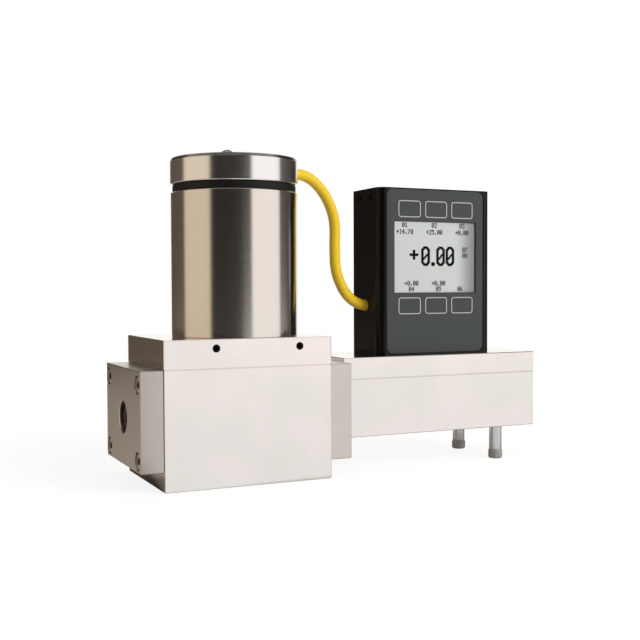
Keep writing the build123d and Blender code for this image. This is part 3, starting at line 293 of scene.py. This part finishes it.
# stainless screws, rolled and tumbled to an even, soft shine
tumbled_stainless = stainless("tumbled_stainless_screws", "D8D5D1", "D0CDC9", 0.24, 0.2, 0.001)
finish(tumbled_stainless, "port_cap_screws")
# the taps leave the thread rougher; its darker colour is painted shade inside the port
tapped_thread_painted_shade = stainless("tapped_stainless_thread", "5E5A55", "54504B", 0.4, 0.3, 0.003)


def port_thread(name, start_mm, end_mm):
    """The crests of a 1/4 inch pipe thread, as one ridge that winds along a port on the X axis."""
    # the pitch, the radii of the thread's root and crest, and the port's height, all in mm
    pitch, root, crest, axis_height = 1.411, 6.8, 6.05, 28.6
    # the ridge's foot and its flat crest reach this share of the pitch to each side
    foot, flat = 0.47, 0.06
    steps, fade_steps, least = 48, 16, 0.02
    turns = (end_mm - start_mm) / pitch - 1
    count = int(turns * steps)
    ridge = bmesh.new()
    rings = []
    for i in range(count + 1):
        angle = 2 * math.pi * i / steps
        x = start_mm + pitch / 2 + pitch * i / steps
        # the ridge fades in and out over a third of a turn, but never quite to nothing
        fade = min(1.0, i / fade_steps, (count - i) / fade_steps)
        top = root - (root - crest) * max(fade, least)
        ring = []
        for along, radius in ((-foot, root), (-flat, top), (flat, top), (foot, root)):
            y, z = radius * math.cos(angle), axis_height + radius * math.sin(angle)
            ring.append(ridge.verts.new(((x + along * pitch) / 1000, y / 1000, z / 1000)))
        rings.append(ring)
    for before, after in zip(rings, rings[1:]):
        for i in range(4):
            ridge.faces.new((before[i], before[(i + 1) % 4], after[(i + 1) % 4], after[i]))
    ridge.faces.new(rings[0][::-1])
    ridge.faces.new(rings[-1])
    bmesh.ops.recalc_face_normals(ridge, faces=ridge.faces)
    mesh = bpy.data.meshes.new(name)
    ridge.to_mesh(mesh)
    ridge.free()
    mesh.materials.append(tapped_thread_painted_shade)
    thread = bpy.data.objects.new(name, mesh)
    bpy.context.scene.collection.objects.link(thread)
    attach(thread, "controller")


port_thread("outlet_thread", -99.3, -90.8)

# ---------------------------------------------------------------- inside the valve
# The seat, guide tube and spring are turned or drawn stainless. The moving armature, the fixed
# pole and the yoke are soft magnetic iron, turned and left with a dull grey skin.
finish(tumbled_stainless, "valve_seat", "guide_tube", "return_spring")
turned_iron = stainless("turned_soft_iron", "8F8B86", "858079", 0.36, 0.3, 0.003, (1, 1, 0.1))
finish(turned_iron, "armature", "pole_piece", "yoke_plate")
# the spring stands under the pole and closes up by the armature's lift as the valve opens; here
# it is a copy of the CAD part in an object of its own, at its drawn length
spring = bpy.data.objects.new("return_spring_coil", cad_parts["return_spring"].data.copy())
bpy.context.scene.collection.objects.link(spring)
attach(spring, "controller")
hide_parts("return_spring")
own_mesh(spring)


def moulded(name, colour, roughness, grain_mm, grain_depth_mm, spread=0.88, specular=0.5):
    """A moulded, coated or printed skin with a texture of a given width and depth. One finer than
    0.25 mm is drawn at 0.25 mm or more, so that it shows."""
    made, tree = new_material(name)
    place = add_node(tree, "ShaderNodeTexCoord")
    grain = add_node(tree, "ShaderNodeTexNoise", {"Scale": 1000 / grain_mm, "Detail": 3.0},
                     {"Vector": place.outputs["Object"]})
    tint = add_node(tree, "ShaderNodeMix", {
        "data_type": "RGBA", first_colour: linear(colour, spread), second_colour: linear(colour)},
        {0: grain.outputs["Fac"]})
    gloss = add_node(tree, "ShaderNodeMapRange",
                     {"From Min": noise_low, "From Max": noise_high,
                      "To Min": roughness - 0.05, "To Max": roughness + 0.05},
                     {"Value": grain.outputs["Fac"]})
    relief = add_node(tree, "ShaderNodeBump", {"Distance": grain_depth_mm / 1000},
                      {"Height": grain.outputs["Fac"]})
    skin = add_node(tree, "ShaderNodeBsdfPrincipled", {"Specular IOR Level": specular}, {
        "Base Color": tint.outputs[mixed_colour], "Roughness": gloss.outputs[0],
        "Normal": relief.outputs[0]})
    add_node(tree, "ShaderNodeOutputMaterial", links={"Surface": skin.outputs[0]})
    return made


# natural glass-filled nylon is a flat, faintly speckled grey brown
nylon = moulded("glass_filled_nylon", "4A4743", 0.5, 0.4, 0.01)
finish(nylon, "coil_bobbin")
# enamel over copper gives the winding a clear orange-brown shine
copper = moulded("enamelled_copper_wire", "8C4A1E", 0.3, 0.5, 0.02)
finish(copper, "coil_winding")
# moulded nitrile is near black, with a soft bloom
nitrile = moulded("moulded_nitrile_rubber", "141414", 0.46, 0.3, 0.01)
finish(nitrile, "armature_seal", "top_plate_o_ring", "port_cap_o_ring", "coupling_o_rings",
       "tap_o_rings", "cable_grommets")


# ---------------------------------------------------------------- coil can, seal ring and cap
# A drawn stainless can and a turned cap, brushed round their axis, with a rubber ring between them.
# A domed nut on the pole's stud clamps the cap.
def brushed(name, colour, roughness, line_mm):
    """Steel brushed round the Z axis, which smears each light upright and keeps its sides sharp."""
    made, tree = new_material(name)
    place = add_node(tree, "ShaderNodeTexCoord")
    round_z = (0.02, 0.02, 1.0)
    laid = add_node(tree, "ShaderNodeMapping", {"Scale": round_z},
                    {"Vector": place.outputs["Object"]})
    lines = add_node(tree, "ShaderNodeTexNoise", {"Scale": 1000 / line_mm, "Detail": 4.0},
                     {"Vector": laid.outputs[0]})
    gloss = add_node(tree, "ShaderNodeMapRange",
                     {"From Min": noise_low, "From Max": noise_high,
                      "To Min": roughness * 0.9, "To Max": roughness * 1.1},
                     {"Value": lines.outputs["Fac"]})
    tint = add_node(tree, "ShaderNodeMix", {
        "data_type": "RGBA", first_colour: linear(colour, 0.93), second_colour: linear(colour)},
        {0: lines.outputs["Fac"]})
    round_axis = add_node(tree, "ShaderNodeTangent", {"direction_type": "RADIAL", "axis": "Z"})
    steel = add_node(tree, "ShaderNodeBsdfPrincipled", {
        "Metallic": 1.0, "Anisotropic": 0.9, "Anisotropic Rotation": 0.25}, {
        "Base Color": tint.outputs[mixed_colour], "Roughness": gloss.outputs[0],
        "Tangent": round_axis.outputs[0]})
    add_node(tree, "ShaderNodeOutputMaterial", links={"Surface": steel.outputs[0]})
    return made


# bright, with soft upright bands; the real brush leaves lines of 0.05 mm, drawn here at 0.25 mm
# so that they show
brushed_can = brushed("brushed_stainless_can", "EAE3DC", 0.22, 0.25)
finish(brushed_can, "solenoid_can")
# the cap is turned from bar and brushed like the can; its bevel and top take a darker grey,
# painted shade where they face the dim ceiling
bevel_foot = 0.13825
turned_cap = brushed("turned_stainless_cap", "F8F6F4", 0.24, 0.25)
tree = turned_cap.node_tree
steel = tree.nodes["Principled BSDF"]
place = add_node(tree, "ShaderNodeTexCoord")
split = add_node(tree, "ShaderNodeSeparateXYZ", links={0: place.outputs["Object"]})
above_wall = add_node(tree, "ShaderNodeMath", {"operation": "GREATER_THAN", 1: bevel_foot},
                      {0: split.outputs["Z"]})
# painted shade: above the bevel's foot the cap's colour turns a darker grey
painted_shade_grey = add_node(tree, "ShaderNodeMix", {
    "data_type": "RGBA", second_colour: linear("A9A8A5")}, {
    0: above_wall.outputs[0], first_colour: steel.inputs["Base Color"].links[0].from_socket})
tree.links.new(painted_shade_grey.outputs[mixed_colour], steel.inputs["Base Color"])
finish(turned_cap, "can_cap")
# the nut is stainless too, left dull and grey from the lathe all over
turned_nut = stainless("turned_stainless_nut", "A3A19D", "999793", 0.38, 0.3, 0.003)
finish(turned_nut, "cap_nut")
# the ring between can and cap is a softer black with a faint sheen along its middle
soft_nitrile = moulded("soft_nitrile_seal_ring", "0C0C0C", 0.6, 0.3, 0.01)
finish(soft_nitrile, "cap_seal_ring")

# ---------------------------------------------------------------- coupling plate
# A milled stainless plate between valve and meter, held by four black screws from the meter's side.
# the side of the cutter leaves upright lines on its edges, a little brighter than the port cap
along_z = (1, 1, 0.08)
side_milled_stainless = stainless("side_milled_stainless", "DBD4CE", "D3CCC6", 0.34, 0.35, 0.003,
                                  along_z)
finish(side_milled_stainless, "coupling_plate")
finish(black_oxide, "coupling_screws")

# ---------------------------------------------------------------- flow meter
# A ground bar bored from end to end for the laminar flow element, with a lid that carries the
# pressure sensors. Screws from below hold the lid, and the inlet has its own pipe thread.
finish(ground_stainless, "meter_body", "sensor_plate")
finish(tumbled_stainless, "laminar_flow_element", "element_retainer", "inlet_screen",
       "meter_screws", "sensor_plate_screws", "passage_plugs")
port_thread("inlet_thread", 84.6, 99.4)

# ---------------------------------------------------------------- support posts
# Two turned stainless posts hold the meter's free end level. Each has a flared rubber tip
# pressed on.
# polished lengthwise after turning, so they shine evenly with faint upright lines
lengthwise = (1, 1, 0.06)
turned_posts = stainless("turned_stainless_posts", "CECECD", "C6C6C5", 0.22, 0.2, 0.001,
                         lengthwise)
finish(turned_posts, "support_posts")
# moulded grey rubber, mottled where it has rubbed on benches, with a soft bloom
rubber_tips = moulded("moulded_grey_rubber_tips", "BCBCB9", 0.45, 1.0, 0.03, spread=0.4)
finish(rubber_tips, "post_tips")

# ---------------------------------------------------------------- display housing
# An aluminium case in satin black powder coat, open at the top under a screwed cover that carries
# the signal socket. Its boards stand on spacers inside.

# fine pores in the powder scatter most of what a smooth paint would mirror
satin_black = moulded("satin_black_powder_coat", "070607", 0.3, 0.25, 0.006, specular=0.28)
finish(satin_black, "display_housing", "top_cover")
finish(black_oxide, "cover_screws")
finish(tumbled_stainless, "housing_screws")
# black nylon of connectors and sensors, a shade lighter and flatter than the case
connector_nylon = moulded("black_connector_nylon", "18191A", 0.4, 0.3, 0.01)
finish(connector_nylon, "signal_socket", "power_jack", "pressure_sensors")
# solder mask is a deep glossy green over the weave of the laminate
solder_mask = moulded("green_solder_mask", "0B4A25", 0.3, 0.6, 0.01)
finish(solder_mask, "main_board", "sensor_board")
finish(nylon, "board_spacers")

# ---------------------------------------------------------------- keypad film
# A polyester film with a fine matt texture, printed dark grey from behind. Six embossed rims in
# pale grey ink mark the keys, so the ink shows only where the film stands proud.
ink_from_y = -0.01293
# the real texture of about 0.02 mm is drawn at 0.2 mm so that it shows
film_grain_mm, film_grain_depth_mm = 0.2, 0.004
film, tree = new_material("matt_polyester_film")
place = add_node(tree, "ShaderNodeTexCoord")
split = add_node(tree, "ShaderNodeSeparateXYZ", links={0: place.outputs["Object"]})
raised = add_node(tree, "ShaderNodeMath", {"operation": "LESS_THAN", 1: ink_from_y},
                  {0: split.outputs["Y"]})
texture = add_node(tree, "ShaderNodeTexNoise", {"Scale": 1000 / film_grain_mm, "Detail": 2.0},
                   {"Vector": place.outputs["Object"]})
ground = add_node(tree, "ShaderNodeMix", {
    "data_type": "RGBA", first_colour: linear("353A3D"), second_colour: linear("3B4043")},
    {0: texture.outputs["Fac"]})
printed = add_node(tree, "ShaderNodeMix", {
    "data_type": "RGBA", second_colour: linear("BDBEBB")},
    {0: raised.outputs[0], first_colour: ground.outputs[mixed_colour]})
relief = add_node(tree, "ShaderNodeBump", {"Distance": film_grain_depth_mm / 1000},
                  {"Height": texture.outputs["Fac"]})
sheet = add_node(tree, "ShaderNodeBsdfPrincipled", {"Roughness": 0.36},
                 {"Base Color": printed.outputs[mixed_colour], "Normal": relief.outputs[0]})
add_node(tree, "ShaderNodeOutputMaterial", links={"Surface": sheet.outputs[0]})
finish(film, "front_panel", "keypad_switch_film")

# ---------------------------------------------------------------- display
# A reflective liquid crystal module behind a clear window. Its dots are black on a silver grey
# ground, with a painted shade towards the right edge that stands in for the polariser seen at a
# slant.

# the front of the glass and the window's left edge and top, in mm
glass_front, window_left, window_top = -12.1, 25.1, 114.15
# where the painted shade towards the right edge sets in and where it is full, in metres
shade_start, shade_end = 0.058, 0.0702
# the frosted polariser's grain is too fine to see and is drawn at a third of a millimetre
frost_mm = 1 / 3
lcd_face, tree = new_material("liquid_crystal_face")
place = add_node(tree, "ShaderNodeTexCoord")
split = add_node(tree, "ShaderNodeSeparateXYZ", links={0: place.outputs["Object"]})
# the silver is painted darker towards the right edge: painted shade for a polariser seen at a slant
painted_slant_shade = add_node(tree, "ShaderNodeMapRange", {
    "From Min": shade_start, "From Max": shade_end, "interpolation_type": "SMOOTHSTEP"},
    {"Value": split.outputs["X"]})
frost = add_node(tree, "ShaderNodeTexNoise", {"Scale": 1000 / frost_mm, "Detail": 2.0},
                 {"Vector": place.outputs["Object"]})
silver = add_node(tree, "ShaderNodeMix", {
    "data_type": "RGBA", first_colour: linear("DFE5E4"), second_colour: linear("E5EBEA")},
    {0: frost.outputs["Fac"]})
silver_with_painted_shade = add_node(tree, "ShaderNodeMix", {
    "data_type": "RGBA", second_colour: linear("92969C")},
    {0: painted_slant_shade.outputs[0], first_colour: silver.outputs[mixed_colour]})
glass = add_node(tree, "ShaderNodeBsdfPrincipled", {"Roughness": 0.35},
                 {"Base Color": silver_with_painted_shade.outputs[mixed_colour]})
add_node(tree, "ShaderNodeOutputMaterial", links={"Surface": glass.outputs[0]})
finish(lcd_face, "lcd_module")
# the window is hard-coated acrylic, clear but for a slight haze in wide, soft patches
haze_mm = 50 / 3
window, tree = new_material("clear_acrylic_window")
place = add_node(tree, "ShaderNodeTexCoord")
haze = add_node(tree, "ShaderNodeTexNoise", {"Scale": 1000 / haze_mm, "Detail": 2.0},
                {"Vector": place.outputs["Object"]})
gloss = add_node(tree, "ShaderNodeMapRange",
                 {"From Min": noise_low, "From Max": noise_high,
                  "To Min": 0.08, "To Max": 0.12},
                 {"Value": haze.outputs["Fac"]})
acrylic = add_node(tree, "ShaderNodeBsdfPrincipled",
                   {"Base Color": linear("151717"), "Alpha": 0.05},
                   {"Roughness": gloss.outputs[0]})
add_node(tree, "ShaderNodeOutputMaterial", links={"Surface": acrylic.outputs[0]})
finish(window, "display_window")

# the reading is a plain zero in tall 8 x 16 characters; small 5 x 7 numbers stand around it
tall_dot, tall_swell = 0.575, 0.35
small_dot_width, small_dot_height, small_swell = 0.255, 0.32, 0.45
tall_characters = {
    "0": ("..####.. .######. ###..### ##....## ##....## ##....## ##...### ##..#### "
          "##.##.## ####..## ###...## ##....## ##....## ###..### .######. ..####.."),
    "+": ("........ ........ ........ ...##... ...##... ...##... ######## ######## "
          "...##... ...##... ...##... ........ ........ ........ ........ ........"),
    ".": "... ... ... ... ... ... ... ... ... ... ... ... ... ### ### ###",
}
small_characters = {
    "0": ".###. #...# #..## #.#.# ##..# #...# .###.",
    "1": "..#.. .##.. ..#.. ..#.. ..#.. ..#.. .###.",
    "2": ".###. #...# ....# ...#. ..#.. .#... #####",
    "3": "##### ...#. ..#.. ...#. ....# #...# .###.",
    "4": "...#. ..##. .#.#. #..#. ##### ...#. ...#.",
    "5": "##### #.... ####. ....# ....# #...# .###.",
    "6": "..##. .#... #.... ####. #...# #...# .###.",
    "7": "##### ....# ...#. ..#.. .#... .#... .#...",
    "8": ".###. #...# #...# .###. #...# #...# .###.",
    "+": "..... ..#.. ..#.. ##### ..#.. ..#.. .....",
    ".": "..... ..... ..... ..... ..... .##.. .##..",
}
dots = bmesh.new()
dot_thickness = 0.03
# a bar's six faces, by its corners: four at the front, then four at the back
bar_faces = [(0, 1, 2, 3), (7, 6, 5, 4), (0, 4, 5, 1), (1, 5, 6, 2), (2, 6, 7, 3), (3, 7, 4, 0)]


def dot_rows(text, characters, left_mm, top_mm, dot_width_mm, dot_height_mm, spacing_mm, swell):
    """Adds a line of dot characters. Each run of dots in a row is one flat bar, swollen by part
    of a dot."""
    for character in text:
        rows = characters[character].split()
        for line, row in enumerate(rows):
            column = 0
            while column < len(row):
                run = len(row[column:]) - len(row[column:].lstrip("#"))
                if run:
                    x0 = window_left + left_mm + column * dot_width_mm
                    x1 = x0 + (run + swell) * dot_width_mm
                    z1 = window_top - top_mm - line * dot_height_mm
                    z0 = z1 - (1 + swell / 2) * dot_height_mm
                    corner = [dots.verts.new((x / 1000, y / 1000, z / 1000))
                              for y in (glass_front - dot_thickness, glass_front)
                              for x, z in ((x0, z0), (x1, z0), (x1, z1), (x0, z1))]
                    for face in bar_faces:
                        dots.faces.new([corner[i] for i in face])
                column += run + 1
        left_mm += len(rows[0]) * dot_width_mm + spacing_mm


reading_top = 11.7
for text, left in (("+", 8.5), ("0", 14.8), (".", 20.4), ("0", 23.1), ("0", 28.35)):
    dot_rows(text, tall_characters, left, reading_top, tall_dot, tall_dot, 0, tall_swell)
small_pitch, half_small_height = 6 * small_dot_width, 3.5 * small_dot_height
for text, middle, height in (
    ("01", 6.0, 1.75), ("+14.70", 6.0, 4.95), ("02", 22.1, 1.75), ("+25.00", 22.1, 4.95),
    ("03", 37.6, 1.75), ("+0.00", 37.6, 4.95), ("07", 39.3, 13.1), ("08", 39.3, 15.9),
    ("+0.00", 9.6, 29.1), ("04", 9.6, 31.8), ("+0.00", 24.4, 29.1), ("05", 24.4, 31.8),
    ("06", 36.5, 31.8),
):
    dot_rows(text, small_characters, middle - small_pitch * len(text) / 2,
             height - half_small_height, small_dot_width, small_dot_height, small_dot_width,
             small_swell)
dots_mesh = bpy.data.meshes.new("display_dots")
dots.to_mesh(dots_mesh)
dots.free()
# switched liquid crystal is a soft black, never quite opaque
crystal_black = moulded("switched_liquid_crystal", "0C0D0E", 0.5, 0.5, 0.0, specular=0.1)
dots_mesh.materials.append(crystal_black)
display_dots = bpy.data.objects.new("display_dots", dots_mesh)
bpy.context.scene.collection.objects.link(display_dots)
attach(display_dots, "controller")

# ---------------------------------------------------------------- signal cable
# A 5 mm cable with a smooth yellow PVC jacket, from the can's cap down into the display housing.
# It is held at both ends by rubber grommets and hangs between them in one loose bend.
cable_diameter = 0.005
cable_route = [
    (-0.0240, 0, 0.1352), (-0.0166, 0, 0.1352), (-0.0096, 0, 0.1319), (-0.0031, 0, 0.1243),
    (0.0007, 0, 0.1142), (0.0004, 0, 0.1025), (0.0006, 0, 0.0915), (0.0042, 0, 0.0826),
    (0.0088, 0, 0.0773), (0.0142, 0, 0.0748), (0.0201, 0, 0.0743),
]
# plasticised PVC is a saturated, slightly waxy yellow
yellow_pvc = moulded("extruded_yellow_pvc", "FFD82E", 0.36, 0.8, 0.005, spread=0.98)
cable_curve = bpy.data.curves.new("signal_cable_jacket", "CURVE")
cable_curve.dimensions = "3D"
cable_curve.bevel_depth = cable_diameter / 2
cable_curve.bevel_resolution = 8
cable_curve.resolution_u = 16
cable_curve.use_fill_caps = True
cable_line = cable_curve.splines.new("NURBS")
cable_line.points.add(len(cable_route) - 1)
for point, place in zip(cable_line.points, cable_route):
    point.co = (*place, 1.0)
cable_line.order_u = 3
cable_line.use_endpoint_u = True
cable_curve.materials.append(yellow_pvc)
cable = bpy.data.objects.new("signal_cable_jacket", cable_curve)
bpy.context.scene.collection.objects.link(cable)
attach(cable, "controller")
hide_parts("signal_cable")
